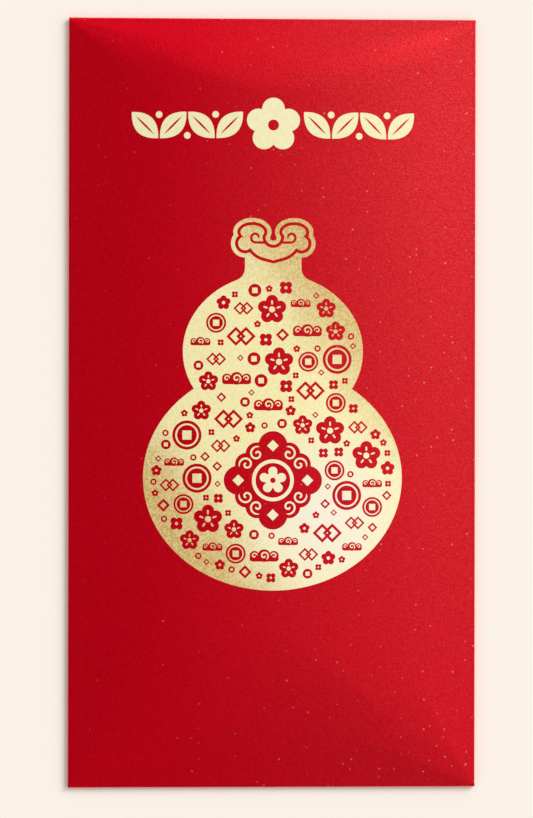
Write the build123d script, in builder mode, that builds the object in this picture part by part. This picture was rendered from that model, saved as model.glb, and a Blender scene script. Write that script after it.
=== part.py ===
"""Red lucky-money envelope, closed and lying on its back.

One sheet of pearl card is scored, folded and glued into a pocket, and its front is stamped with a
gold gourd. X runs across the face, Y up the face and Z out of it. The origin is under the middle of
the envelope, on the surface that it lies on. Sizes are in millimetres and degrees.
"""

import os
from math import cos, hypot, pi, radians, sin, sqrt, tan

from build123d import *

os.makedirs("parts", exist_ok=True)

# Sheet and glue
width = 90.0
height = 170.0
paper = 0.3
seam_glue = 0.06
glue_line = 8.0
glue_inset = 3.0

# Folds, tab and flaps
tab_gap = 0.24
press_margin = 0.1
corner_gap = 0.05
back_inset = 1.0
throat = 5.0
throat_inset = 4.0
throat_corner = 3.0
tab_width = 14.0
tab_inset = 2.0
tab_chamfer = 5.0
bottom_depth = 18.0
bottom_tip_width = 78.0
bottom_corner = 4.0
closure_depth = 40.0
closure_tip_width = 62.0
closure_corner = 9.0
crease_inside = 0.3
hinge_gap = 0.05

# Bow of the front face
flank_angle = 9.0
flank_run = 8.0
top_angle = 22.0
top_run = 3.0
bottom_angle = 11.0
bottom_run = 6.0
end_lift = 0.1

# Gold foil: film, gourd, cloud cap, medallion and stamps
foil = 0.08
bond = 0.02
foil_rim = 1.3
lower_bulb_x = 28.5
lower_bulb_y = 24.7
lower_bulb_centre = -16.5
upper_bulb_x = 19.8
upper_bulb_y = 17.1
upper_bulb_centre = 11.3
neck_half_width = 6.2
neck_top = 32.5
neck_flare = 2.0
cap_line = 0.7
cap_border = 0.9
cap_upper_length = 5.2
cap_upper_lobe = 3.0
cap_upper_x = 4.6
cap_upper_y = 37.5
cap_lower_lobe = 1.5
cap_lower_x = 6.2
cap_lower_y = 35.0
cap_foot_x = 4.8
cap_foot_y = 33.7
cap_belly_x = 2.2
cap_belly_y = 31.9
cap_tip_y = 31.3
cap_notch = 2.4
cap_notch_centre = 36.4
cap_curl = 1.1
cap_curl_x = 3.9
cap_curl_y = 36.3
cap_curl_span = 250.0
cap_curl_line = 0.55
medallion_centre = -17.0
medallion_hub = 6.8
medallion_lobe = 3.2
medallion_reach = 7.6
medallion_side_lobe = 2.5
medallion_side_reach = 6.8
medallion_side_turn = 31.0
medallion_ring = 4.6
medallion_ring_width = 0.8
medallion_bead = 1.8
medallion_petal = 1.0
spiral_pitch = 0.6
stamp_radius = 3.2
stamp_gap = 2.6
petal_radius = 1.35
coin_square = 2.0
lozenge = 3.0
lozenge_pitch = 2.2
lozenge_heart = 1.0
cloud_crest = 1.4
cloud_lobe = 1.05
cloud_foot = 1.3

# Cream print
print_film = 0.05
print_drop = 24.0
print_petal = 2.5
print_petal_reach = 3.5
print_eye = 1.2
print_leaf_length = 8.2
print_leaf_width = 4.4
print_leaf_pitch = 6.2
print_leaf_turn = 45.0
print_leaves = 4
print_spray_offset = 9.6

# Heights through a folded edge, from the outside of the flaps to the top of the front
back_low = paper + seam_glue
back_high = back_low + paper
tab_low = back_high + seam_glue
tab_high = tab_low + paper
rim_low = tab_high + tab_gap
rim_top = rim_low + paper
hinge_height = rim_top - paper / 2

# Plan of the panels: each fold is a half round between its flap and the front
left_bend = (rim_top - back_low) / 2
right_bend = (rim_top - tab_low) / 2
bottom_bend = rim_top / 2
crease = crease_inside + paper
panel_left = -width / 2 + left_bend
panel_right = width / 2 - right_bend
panel_bottom = -height / 2 + bottom_bend
panel_top = height / 2 - paper - hinge_gap
fold_top = height / 2 - crease - hinge_gap
back_bottom = panel_bottom + corner_gap
back_top = panel_top - throat
throat_half_width = width / 2 - throat_inset - throat
tab_bottom = back_bottom + tab_inset
tab_top = back_top - tab_inset
tab_edge = panel_right - tab_width
print_centre = height / 2 - print_drop

# Bow: a straight flank inside each fold, then an arc over the middle, longer and lower at the bottom
fold_inset = bottom_bend + press_margin
fold_x = width / 2 - fold_inset
fold_y = height / 2 - fold_inset
shoulder_x = fold_x - flank_run
shoulder_rise = flank_run * tan(radians(flank_angle))
crown = shoulder_rise + shoulder_x * tan(radians(flank_angle / 2))
top_slope = tan(radians(top_angle))
top_rise = top_run * top_slope
top_roll_y = fold_y - top_run
top_flat_y = top_roll_y - (crown + end_lift - top_rise) / tan(radians(top_angle / 2))
bottom_slope = tan(radians(bottom_angle))
bottom_rise = bottom_run * bottom_slope
bottom_roll_y = bottom_run - fold_y
bottom_flat_y = bottom_roll_y + (crown + end_lift - bottom_rise) / tan(radians(bottom_angle / 2))
above_front = rim_top + crown + end_lift + paper


def front_block(lift):
    """Solid under the bowed front face raised by lift: the bow across, cut by the bow along, with hips."""
    edge = rim_top + lift
    shoulder_z = edge + shoulder_rise
    top_z = edge + top_rise
    bottom_z = edge + bottom_rise
    flat_z = edge + crown + end_lift
    with BuildPart() as block:
        with BuildSketch(Plane.XZ.offset(-panel_top)):
            with BuildLine():
                Polyline((panel_left, 0), (panel_left, edge), (-fold_x, edge), (-shoulder_x, shoulder_z))
                ThreePointArc((-shoulder_x, shoulder_z), (0, edge + crown), (shoulder_x, shoulder_z))
                Polyline((shoulder_x, shoulder_z), (fold_x, edge), (panel_right, edge), (panel_right, 0))
                Line((panel_right, 0), (panel_left, 0))
            make_face()
        extrude(amount=panel_top - panel_bottom)
        with BuildSketch(Plane.YZ.offset(panel_left)):
            with BuildLine():
                Polyline((panel_bottom, 0), (panel_bottom, edge), (-fold_y, edge), (bottom_roll_y, bottom_z))
                TangentArc((bottom_roll_y, bottom_z), (bottom_flat_y, flat_z), tangent=(1, bottom_slope))
                Line((bottom_flat_y, flat_z), (top_flat_y, flat_z))
                TangentArc((top_flat_y, flat_z), (top_roll_y, top_z), tangent=(1, 0))
                Polyline((top_roll_y, top_z), (fold_y, edge), (panel_top, edge), (panel_top, 0))
                Line((panel_top, 0), (panel_bottom, 0))
            make_face()
        extrude(amount=panel_right - panel_left, mode=Mode.INTERSECT)
    return block.part


def folded_section(low, reach):
    """Section of a flap: a half-round fold from the front's edge, then flat at height low out to reach."""
    bend = (rim_top - low) / 2
    with BuildSketch() as section:
        with BuildLine():
            Line((reach, low), (bend, low))
            ThreePointArc((bend, low), (0, low + bend), (bend, rim_top))
            Line((bend, rim_top), (bend, rim_low))
            ThreePointArc((bend, rim_low), (paper, low + bend), (bend, low + paper))
            Polyline((bend, low + paper), (reach, low + paper), (reach, low))
        make_face()
    return section.sketch


def flap_outline(edge_y, fold_y, tip_width, tip_y, corner):
    """Plan of a flap: as wide as the envelope round its fold, then narrower to a tip with rounded corners."""
    with BuildSketch() as outline:
        with BuildLine():
            Polyline(
                (-width / 2, fold_y),
                (-width / 2, edge_y),
                (width / 2, edge_y),
                (width / 2, fold_y),
                (tip_width / 2, tip_y),
                (-tip_width / 2, tip_y),
                close=True,
            )
        make_face()
        tip_corners = outline.vertices().sort_by(lambda vertex: abs(vertex.Y - tip_y))[:2]
        fillet(tip_corners, corner)
    return outline.sketch


def stamp_places():
    """Points of a sunflower spiral where a stamp clears the outline, the medallion and earlier stamps."""
    golden_turn = pi * (3 - sqrt(5))
    inset = foil_rim + stamp_radius
    spacing = 2 * stamp_radius + stamp_gap
    clear_of_medallion = medallion_reach + medallion_lobe + stamp_gap + stamp_radius
    reach_limit = upper_bulb_centre + upper_bulb_y - medallion_centre
    places = []
    step = 0
    reach = 0
    while reach < reach_limit:
        step += 1
        reach = spiral_pitch * sqrt(step)
        x = reach * cos(step * golden_turn)
        y = medallion_centre + reach * sin(step * golden_turn)
        low = hypot(x / (lower_bulb_x - inset), (y - lower_bulb_centre) / (lower_bulb_y - inset))
        high = hypot(x / (upper_bulb_x - inset), (y - upper_bulb_centre) / (upper_bulb_y - inset))
        clear = all(hypot(x - at_x, y - at_y) > spacing for at_x, at_y in places)
        if min(low, high) < 1 and reach > clear_of_medallion and clear:
            places.append((x, y))
    return places


# Front panel: one thickness of card under the bowed face
front_face = front_block(0)
front_underside = front_block(-paper)
with BuildPart() as front_panel:
    add(front_face)
    add(front_underside, mode=Mode.SUBTRACT)
front_panel.part.label = "front_panel"

# Back panel, with the fold on the left and the throat cut in its top edge
left_fold = Plane((-width / 2, fold_top, 0), x_dir=(1, 0, 0), z_dir=(0, -1, 0))
back_section = folded_section(back_low, width - back_inset)
with BuildPart() as back_panel:
    with BuildSketch(left_fold):
        add(back_section)
    extrude(amount=fold_top - back_bottom)
    with BuildSketch():
        with BuildLine():
            Polyline(
                (-throat_half_width, back_top),
                (throat_half_width, back_top),
                (throat_half_width + throat + paper, panel_top + paper),
                (-throat_half_width - throat - paper, panel_top + paper),
                close=True,
            )
        make_face()
        fillet(vertices().group_by(Axis.Y)[0], throat_corner)
    extrude(amount=rim_top, mode=Mode.SUBTRACT)
back_panel.part.label = "back_panel"

# Side tab, with the fold on the right, inside the back panel
right_fold = Plane((width / 2, back_bottom, 0), x_dir=(-1, 0, 0), z_dir=(0, 1, 0))
tab_section = folded_section(tab_low, right_bend + tab_width)
with BuildPart() as side_tab:
    with BuildSketch():
        with Locations((tab_edge, (tab_bottom + tab_top) / 2)):
            Rectangle(width / 2, tab_top - tab_bottom, align=(Align.MIN, Align.CENTER))
        chamfer(vertices().group_by(Axis.X)[0], length=tab_chamfer)
        with Locations((panel_right - tab_inset, (back_bottom + fold_top) / 2)):
            Rectangle(width / 2, fold_top - back_bottom, align=(Align.MIN, Align.CENTER))
    extrude(amount=rim_top)
    with BuildSketch(right_fold):
        add(tab_section)
    extrude(amount=fold_top - back_bottom, mode=Mode.INTERSECT)
side_tab.part.label = "side_tab"

# Bottom flap, folded up over the back panel
bottom_fold = Plane((-width / 2, -height / 2, 0), x_dir=(0, 1, 0), z_dir=(1, 0, 0))
bottom_tip = -height / 2 + bottom_depth
bottom_plan = flap_outline(-height / 2, panel_bottom, bottom_tip_width, bottom_tip, bottom_corner)
bottom_section = folded_section(0, bottom_depth)
with BuildPart() as bottom_flap:
    add(bottom_plan)
    extrude(amount=rim_top)
    with BuildSketch(bottom_fold):
        add(bottom_section)
    extrude(amount=width, mode=Mode.INTERSECT)
bottom_flap.part.label = "bottom_flap"

# Closure flap: a round bead on the hinge line, the short wall of the top fold, then the flap
top_fold = Plane((width / 2, height / 2, 0), x_dir=(0, -1, 0), z_dir=(-1, 0, 0))
closure_tip = height / 2 - closure_depth
closure_plan = flap_outline(height / 2, height / 2 - crease, closure_tip_width, closure_tip, closure_corner)
with BuildPart() as closure_flap:
    add(closure_plan)
    extrude(amount=rim_top)
    with BuildSketch(top_fold):
        with BuildLine():
            Line((closure_depth, 0), (crease, 0))
            TangentArc((crease, 0), (0, crease), tangent=(-1, 0))
            Line((0, crease), (0, hinge_height))
            ThreePointArc((0, hinge_height), (paper / 2, rim_top), (paper, hinge_height))
            Line((paper, hinge_height), (paper, crease))
            TangentArc((paper, crease), (crease, paper), tangent=(0, -1))
            Polyline((crease, paper), (closure_depth, paper), (closure_depth, 0))
        make_face()
    extrude(amount=width, mode=Mode.INTERSECT)
closure_flap.part.label = "closure_flap"

# Glue line between the side tab and the back panel
with BuildPart() as side_seam_glue:
    with BuildSketch(Plane.XY.offset(back_high)):
        with Locations((tab_edge + tab_width / 2, (tab_bottom + tab_top) / 2)):
            Rectangle(glue_line, tab_top - tab_bottom - 2 * (glue_inset + tab_chamfer))
    extrude(amount=seam_glue)
side_seam_glue.part.label = "side_seam_glue"

# Glue line between the bottom flap and the back panel
with BuildPart() as bottom_seam_glue:
    with BuildSketch(Plane.XY.offset(paper)):
        with Locations((0, (back_bottom + bottom_tip) / 2)):
            Rectangle(bottom_tip_width - 2 * (glue_inset + bottom_corner), glue_line)
    extrude(amount=seam_glue)
bottom_seam_glue.part.label = "bottom_seam_glue"

# Cloud cap: a ruyi cloud of four lobes over a round body that comes to a point
belly_tangent = (cap_belly_x, cap_belly_y - cap_tip_y)
with BuildSketch() as cloud:
    with BuildLine():
        Line((0, cap_tip_y), (cap_belly_x, cap_belly_y))
        TangentArc((cap_belly_x, cap_belly_y), (cap_foot_x, cap_foot_y), tangent=belly_tangent)
        Polyline(
            (cap_foot_x, cap_foot_y),
            (cap_lower_x, cap_lower_y),
            (cap_upper_x, cap_upper_y),
            (0, cap_upper_y),
        )
        mirror(about=Plane.YZ)
    make_face()
    with Locations((0, cap_notch_centre)):
        Circle(cap_notch, mode=Mode.SUBTRACT)
    with Locations((-cap_upper_x, cap_upper_y), (cap_upper_x, cap_upper_y)):
        SlotOverall(cap_upper_length, cap_upper_lobe)
    with Locations((-cap_lower_x, cap_lower_y), (cap_lower_x, cap_lower_y)):
        Circle(cap_lower_lobe)
with BuildSketch() as cloud_groove:
    add(cloud.sketch)
    offset(amount=cap_line)
with BuildSketch() as cloud_border:
    add(cloud.sketch)
    offset(amount=cap_line + cap_border)
curl_foot_y = cap_curl_y - cap_curl
with BuildSketch() as cloud_cap:
    add(cloud.sketch)
    with BuildLine():
        Line((0, curl_foot_y), (-cap_curl_x, curl_foot_y))
        CenterArc((-cap_curl_x, cap_curl_y), cap_curl, -90, -cap_curl_span)
    trace(line_width=cap_curl_line, mode=Mode.SUBTRACT)
    with BuildLine():
        Line((0, curl_foot_y), (cap_curl_x, curl_foot_y))
        CenterArc((cap_curl_x, cap_curl_y), cap_curl, -90, cap_curl_span)
    trace(line_width=cap_curl_line, mode=Mode.SUBTRACT)

# Medallion: four cloud heads round a ring and a blossom
with BuildSketch() as medallion:
    with Locations((0, medallion_centre)):
        Circle(medallion_hub)
        with PolarLocations(medallion_reach, 4):
            Circle(medallion_lobe)
        with PolarLocations(medallion_side_reach, 4, start_angle=medallion_side_turn):
            Circle(medallion_side_lobe)
        with PolarLocations(medallion_side_reach, 4, start_angle=-medallion_side_turn):
            Circle(medallion_side_lobe)
        Circle(medallion_ring, mode=Mode.SUBTRACT)
        Circle(medallion_ring - medallion_ring_width)
        with PolarLocations(medallion_petal, 5, start_angle=90):
            Circle(medallion_petal, mode=Mode.SUBTRACT)
        with PolarLocations(medallion_reach, 4):
            Rectangle(medallion_bead, medallion_bead, rotation=45, mode=Mode.SUBTRACT)

# Stamps: plum blossom, square-holed coin, linked lozenges and cloud
with BuildSketch() as blossom:
    with PolarLocations(stamp_radius - petal_radius, 5, start_angle=90):
        Circle(petal_radius)
    Circle(petal_radius)
with BuildSketch() as coin:
    Circle(stamp_radius)
    Rectangle(coin_square, coin_square, mode=Mode.SUBTRACT)
with BuildSketch() as lozenges:
    with GridLocations(lozenge_pitch, 0, 2, 1):
        Rectangle(lozenge, lozenge, rotation=45)
    Rectangle(lozenge_heart, lozenge_heart, rotation=45, mode=Mode.SUBTRACT)
with BuildSketch() as small_cloud:
    Circle(cloud_crest)
    with GridLocations(2 * (stamp_radius - cloud_lobe), 0, 2, 1):
        Circle(cloud_lobe)
    with Locations((0, -cloud_foot / 2)):
        SlotOverall(2 * stamp_radius, cloud_foot)
stamps = [blossom.sketch, coin.sketch, lozenges.sketch, small_cloud.sketch]
places = stamp_places()

# Whole stamping: the gourd with its cap border, less the groove, the medallion and the stamps
with BuildSketch() as stamping:
    with Locations((0, upper_bulb_centre)):
        Ellipse(upper_bulb_x, upper_bulb_y)
    with Locations((0, (upper_bulb_centre + neck_top) / 2)):
        Rectangle(2 * neck_half_width, neck_top - upper_bulb_centre)
    shoulders = stamping.vertices().group_by(Axis.Y)[-2]
    fillet(shoulders, neck_flare)
    with Locations((0, lower_bulb_centre)):
        Ellipse(lower_bulb_x, lower_bulb_y)
    add(cloud_border.sketch)
    add(cloud_groove.sketch, mode=Mode.SUBTRACT)
    add(medallion.sketch, mode=Mode.SUBTRACT)
    for kind, stamp in enumerate(stamps):
        with Locations(*places[kind :: len(stamps)]):
            add(stamp, mode=Mode.SUBTRACT)
stamped_faces = stamping.faces().sort_by(SortBy.AREA)

# The three foil nodes are that stamping, laid on the bowed face
foil_low = front_block(bond)
foil_high = front_block(bond + foil)
with BuildPart() as gourd_foil:
    add(stamped_faces[-1])
    extrude(amount=above_front)
    add(foil_low, mode=Mode.SUBTRACT)
    add(foil_high, mode=Mode.INTERSECT)
gourd_foil.part.label = "gourd_foil"

with BuildPart() as foil_islands:
    add(stamped_faces[:-1])
    extrude(amount=above_front)
    add(foil_low, mode=Mode.SUBTRACT)
    add(foil_high, mode=Mode.INTERSECT)
foil_islands.part.label = "foil_islands"

with BuildPart() as cloud_cap_foil:
    add(cloud_cap.sketch)
    extrude(amount=above_front)
    add(foil_low, mode=Mode.SUBTRACT)
    add(foil_high, mode=Mode.INTERSECT)
cloud_cap_foil.part.label = "cloud_cap_foil"

# Cream print: a blossom between two sprays of leaves
with BuildSketch() as leaf:
    with BuildLine():
        ThreePointArc((-print_leaf_length / 2, 0), (0, print_leaf_width / 2), (print_leaf_length / 2, 0))
        ThreePointArc((-print_leaf_length / 2, 0), (0, -print_leaf_width / 2), (print_leaf_length / 2, 0))
    make_face()
leaf_places = []
for order in range(print_leaves):
    lean = print_leaf_turn if order % 2 else -print_leaf_turn
    leaf_places.append(Location((print_spray_offset + order * print_leaf_pitch, print_centre), lean))
with BuildSketch() as garland:
    with Locations(*leaf_places):
        add(leaf.sketch)
    mirror(about=Plane.YZ)
    with Locations((0, print_centre)):
        with PolarLocations(print_petal_reach, 5, start_angle=90):
            Circle(print_petal)
        Circle(print_petal)
        Circle(print_eye, mode=Mode.SUBTRACT)
print_high = front_block(bond + print_film)
with BuildPart() as header_print:
    add(garland.sketch)
    extrude(amount=above_front)
    add(foil_low, mode=Mode.SUBTRACT)
    add(print_high, mode=Mode.INTERSECT)
header_print.part.label = "header_print"

paper_pieces = [front_panel, back_panel, side_tab, bottom_flap, closure_flap]
glue_pieces = [side_seam_glue, bottom_seam_glue]
stamped_pieces = [gourd_foil, foil_islands, cloud_cap_foil, header_print]
for piece in paper_pieces + glue_pieces + stamped_pieces:
    export_step(piece.part, f"parts/{piece.part.label}.step")
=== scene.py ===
"""Looks of a red lucky-money envelope: pearl card, folded and glued, stamped with gold foil and printed.

It lies face up. X runs across the face, Y up the face and Z out of it. Sizes are in millimetres until a
piece is built, and angles are in degrees until they are used.
"""

import bpy
import numpy as np
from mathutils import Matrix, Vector
from mathutils.geometry import delaunay_2d_cdt


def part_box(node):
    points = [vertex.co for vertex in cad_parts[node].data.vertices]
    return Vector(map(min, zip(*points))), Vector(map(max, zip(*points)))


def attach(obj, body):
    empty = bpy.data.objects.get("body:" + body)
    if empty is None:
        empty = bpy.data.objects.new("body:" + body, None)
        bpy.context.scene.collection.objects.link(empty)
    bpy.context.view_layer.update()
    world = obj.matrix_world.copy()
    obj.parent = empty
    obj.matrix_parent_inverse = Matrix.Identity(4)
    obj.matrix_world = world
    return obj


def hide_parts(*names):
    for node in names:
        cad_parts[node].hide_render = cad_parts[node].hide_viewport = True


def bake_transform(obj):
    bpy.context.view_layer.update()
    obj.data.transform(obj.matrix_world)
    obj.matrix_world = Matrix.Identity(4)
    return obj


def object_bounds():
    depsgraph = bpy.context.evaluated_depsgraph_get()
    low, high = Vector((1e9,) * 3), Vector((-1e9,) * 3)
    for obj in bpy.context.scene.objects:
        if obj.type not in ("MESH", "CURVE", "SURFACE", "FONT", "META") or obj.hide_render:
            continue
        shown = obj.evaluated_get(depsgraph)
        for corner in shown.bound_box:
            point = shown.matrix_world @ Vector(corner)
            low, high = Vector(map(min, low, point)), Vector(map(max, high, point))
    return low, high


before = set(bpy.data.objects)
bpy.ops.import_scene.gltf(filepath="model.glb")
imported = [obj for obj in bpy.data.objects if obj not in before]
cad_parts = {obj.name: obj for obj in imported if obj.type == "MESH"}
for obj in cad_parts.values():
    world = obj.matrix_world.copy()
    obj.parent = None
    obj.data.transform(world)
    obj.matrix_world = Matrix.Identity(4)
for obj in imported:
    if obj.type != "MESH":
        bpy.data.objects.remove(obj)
cad_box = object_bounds()

MM = 0.001


def node_box(node):
    """Lowest and highest corner of a CAD node, in millimetres."""
    return [np.array(corner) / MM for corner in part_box(node)]


# Sizes that the frame gives
half_width, half_height, _ = np.array(cad_box[1]) / MM
panel_low, panel_high = node_box("front_panel")
back_low, back_high = node_box("back_panel")
tab_low, _ = node_box("side_tab")
_, bottom_high = node_box("bottom_flap")
closure_low, _ = node_box("closure_flap")
rim_top = bottom_high[2]

# Card and folds
PAPER = 0.3
FLANK_ANGLE = 9.0
FLANK_RUN = 8.0
TOP_ANGLE = 22.0
TOP_RUN = 3.0
BOTTOM_ANGLE = 11.0
BOTTOM_RUN = 6.0
END_LIFT = 0.1
HIP_EASE = 1.7
FOLD_EASE = 0.03
BOTTOM_TIP_WIDTH = 78.0
BOTTOM_CORNER = 4.0
CLOSURE_TIP_WIDTH = 62.0
CLOSURE_CORNER = 9.0
THROAT = 5.0
THROAT_INSET = 4.0
THROAT_EASE = 3.0
TAB_INSET = 2.0
TAB_CHAMFER = 5.0
TAB_STEP = PAPER / 10
TAB_LEAD = 1.0
BACK_RELIEF = 0.04
RELIEF_RUN = 1.2
SHARP_ANGLE = 35.0

# Lines of the grids: across and up the front, round a fold and along it, across the back and the tab, and
# down a flap and round its corners
FRONT_GRID = (161, 281)
FOLD_STEPS = 17
FOLD_LINES = 61
BACK_LINES = 180
TAB_LINES = 8
FLAP_LINES = 24
CORNER_LINES = 19

# Gold stamping. Bulbs and the cap's upper lobe are x, y, half width and half height, its other lobe and its
# curl are x, y and radius, and its notch is y and radius
FOIL_LOW = 0.004
FOIL_HIGH = 0.03
FOIL_RIM = 1.3
FILM_PITCH = 1.6
LOWER_BULB = (0.0, -16.5, 28.5, 24.7)
UPPER_BULB = (0.0, 11.3, 19.8, 17.1)
NECK_HALF_WIDTH = 6.2
NECK_TOP = 32.5
NECK_FLARE = 2.2
CAP_LINE = 0.7
CAP_BORDER = 0.9
CAP_UPPER_LOBE = (4.6, 37.5, 2.6, 1.5)
CAP_LOWER_LOBE = (6.2, 35.0, 1.5)
CAP_FOOT = (4.8, 33.7)
CAP_BELLY = (2.2, 31.9)
CAP_TIP = (0.0, 31.3)
CAP_NOTCH = (36.4, 2.4)
CAP_CURL = (3.9, 36.3, 1.1)
CAP_CURL_END = 0.66
CAP_CURL_TURN = 285.0
CAP_CURL_LINE = 0.55
MEDALLION_Y = -17.0
MEDALLION_HUB = 6.8
MEDALLION_LOBE = 3.2
MEDALLION_REACH = 7.6
MEDALLION_SIDE_LOBE = 2.5
MEDALLION_SIDE_REACH = 6.8
MEDALLION_SIDE_TURN = 31.0
MEDALLION_RING = 4.6
MEDALLION_RING_WIDTH = 0.8
MEDALLION_BEAD = 1.8
MEDALLION_PETAL = 1.0
MEDALLION_EYE = 0.6
MEDALLION_CURL = (1.65, 0.12)
MEDALLION_CURL_START = -20.0
MEDALLION_CURL_TURN = 470.0
MEDALLION_CURL_LINE = 0.42
SPIRAL_PITCH = 0.6
STAMP_RADIUS = 3.2
STAMP_GAP = 2.6
PETAL = 1.35
COIN_SQUARE = 2.0
LOZENGE = 3.0
LOZENGE_PITCH = 2.2
CLOUD_CREST = 1.4
CLOUD_LOBE = 1.05
CLOUD_FOOT = 1.3
CREST_CURL_START = -60.0
CREST_CURL_TURN = 420.0
FILL_RADII = (2.2, 1.6, 1.2, 0.8)
FILL_GAPS = (0.7, 0.6, 0.6, 0.5)
FILL_PITCH = 0.2

# Shares of a motif's own size: a flower's reach, petal and eye, a coin's ring and hole, a lozenge's side and
# heart, and the two ends and the line of a curl
BLOSSOM_EYE = 0.5
STAMEN_ENDS = (0.75, 1.5)
STAMEN_LINE = 0.28
COIN_RING = (0.8, 0.68)
LOZENGE_HEART = 0.62
CREST_CURL = (0.7, 0.15, 0.24)
LOBE_CURL = (0.62, 0.15, 0.26)
QUATREFOIL = (0.55, 0.45, 0.22)
SMALL_BLOSSOM = (0.58, 0.42, 0.24)
SMALL_COIN = (0.9, 0.75)
SMALL_LOZENGE = (1.3, 0.66)

# Points of the outlines: how far apart they lie on round ones, and how many the others have
POINT_STEP = 0.22
ROUND_LEAST = 16
ROSETTE_LEAST = 40
CURL_STEP = 14.0
CURL_LEAST = 12
SLOT_END_POINTS = 16
LEAF_SIDE_POINTS = 25
STAMEN_POINTS = 6
NECK_FLARE_POINTS = 9
NECK_FOOT_POINTS = 6
CAP_LINE_POINTS = 20

# Ends of a drawn line: the power by which it narrows, and the least that is left of its width, squared
STROKE_POWER = 8
STROKE_LEAST = 0.02

# Cutting the films: the kind of cut that keeps every triangle, how near two points are to be one, and the
# rise that stands for none
ALL_TRIANGLES = 0
WELD = 1e-5
NO_RISE = 1e-12

# Cream print
PRINT_LOW = 0.004
PRINT_HIGH = 0.024
PRINT_Y = 61.0
PRINT_PETAL = 2.5
PRINT_PETAL_REACH = 3.5
PRINT_EYE = 1.2
LEAF_LENGTH = 8.2
LEAF_WIDTH = 4.4
LEAF_PITCH = 6.2
LEAF_TURN = 45.0
LEAF_VEIN = (5.74, 0.44)
LEAVES = 4
SPRAY_OFFSET = 9.6
BERRY = 0.75
BERRY_RISE = 2.3

# Pearl card: sizes of its grains, the shares of a cell between which a platelet fades, and how its painted
# glints and painted sheen are spread over the face, more towards the right and less at the foot
MOTTLE = 0.8
PLATELET_CELL = 1.6
PLATELET_FADE = (0.16, 0.05)
PLATELET_PAINTED_GLINT = 0.8
PLATELET_CHANCE = (0.74, 1.06)
PLATELET_PAINTED_GLINT_FAVOUR = 0.2
DUST = 0.4
DUST_BAND = (0.42, 0.72)
DUST_PAINTED_SHEEN = (0.045, 0.14)
PAINTED_SHEEN_ACROSS = (-30.0, 50.0)
PAINTED_SHEEN_UP = (-85.0, 50.0)
PAINTED_SHEEN_AT_FOOT = 0.3
TOOTH = 0.45
TOOTH_DEPTH = 0.045
PEARL_ROUGHNESS = (0.26, 0.48)

# Other finishes: their grains, depths of bumps and roughness, and the part of a noise's range that is used
FIBRE_DEPTH = 0.04
SAND = 0.5
SAND_DEPTH = 0.03
FOIL_ROUGHNESS = (0.46, 0.34)
INK_GRAIN = 0.6
NOISE_BAND = (0.3, 0.7)

# Painted reflection and painted highlight on the foil: a pale band, whose edges are its outer and inner ends,
# and a creamy spot
PAINTED_REFLECTION_DIRECTION = (0.77, 0.64, 0.0)
PAINTED_REFLECTION_EDGES = ((-36.0, -17.0), (27.0, 8.0))
PAINTED_REFLECTION_SWAY = 5.0
PAINTED_REFLECTION_DRIFT = 9.0
PAINTED_HIGHLIGHT_PLACE = (12.0, -25.0, 5.0)
PAINTED_HIGHLIGHT_RADIUS = 26.0
PAINTED_HIGHLIGHT_SHARE = 0.8


# Front face

fold_bend = rim_top / 2
fold_end = half_height - fold_bend
fold_x = -panel_low[0]


def bow(across, fold, angle, run, roll):
    """Height of a bow at a distance from its middle: level, then an arc over roll, then a straight flank over
    run that falls at an angle to the fold, and on below it."""
    slope = np.radians(angle)
    reach = np.abs(across)
    radius = roll / np.sin(slope)
    turned = np.clip(reach - (fold - run - roll), 0, roll)
    arc = np.sqrt(radius**2 - turned**2) - radius * np.cos(slope)
    return arc + (fold - np.maximum(reach, fold - run)) * np.tan(slope)


def soft_least(a, b, ease):
    """The lesser of two arrays, rounded where they differ by less than ease."""
    share = np.clip(0.5 + (b - a) / (2 * ease), 0, 1)
    return b + (a - b) * share - ease * share * (1 - share)


crown = bow(0.0, fold_x, FLANK_ANGLE, FLANK_RUN, fold_x - FLANK_RUN)


def end_bow(y, angle, run):
    """Bow along the front at one end: its arc is as long as it takes to rise just over the crown."""
    rise = run * np.tan(np.radians(angle))
    return bow(y, fold_end, angle, run, (crown + END_LIFT - rise) / np.tan(np.radians(angle / 2)))


def front_height(x, y):
    """Top of the front card: the lesser of the bow across and the bow along, with eased fold lines and with
    hips that are eased most half way up."""
    across = bow(x, fold_x, FLANK_ANGLE, FLANK_RUN, fold_x - FLANK_RUN)
    along = np.where(y > 0, end_bow(y, TOP_ANGLE, TOP_RUN), end_bow(y, BOTTOM_ANGLE, BOTTOM_RUN))
    risen = np.minimum(across, along) / crown
    bowed = soft_least(across, along, np.maximum(4 * HIP_EASE * risen * (1 - risen), END_LIFT))
    return rim_top - soft_least(-bowed, np.zeros_like(bowed), FOLD_EASE)


# Colours, nodes and materials


def linear(code):
    """A hex sRGB colour as linear red, green, blue and alpha."""
    parts = np.array([int(code[at : at + 2], 16) for at in (1, 3, 5)]) / 255
    straight = np.where(parts <= 0.04045, parts / 12.92, ((parts + 0.055) / 1.055) ** 2.4)
    return (*straight.tolist(), 1.0)


def add_node(tree, kind, inputs=(), **settings):
    """Adds a node with its settings. Each input is paired with a value, or with the output that feeds it."""
    node = tree.nodes.new(kind)
    for name, value in settings.items():
        setattr(node, name, value)
    for socket, value in dict(inputs).items():
        if isinstance(value, bpy.types.NodeSocket):
            tree.links.new(value, node.inputs[socket])
        else:
            node.inputs[socket].default_value = value
    return node


# Sockets of a Mix node, for colours and for values, and of a Map Range node
MIX_A, MIX_B, MIX_COLOUR = 6, 7, 2
MIX_LOW, MIX_HIGH = 2, 3
MAP_RANGE = ("Value", "From Min", "From Max", "To Min", "To Max")


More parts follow.
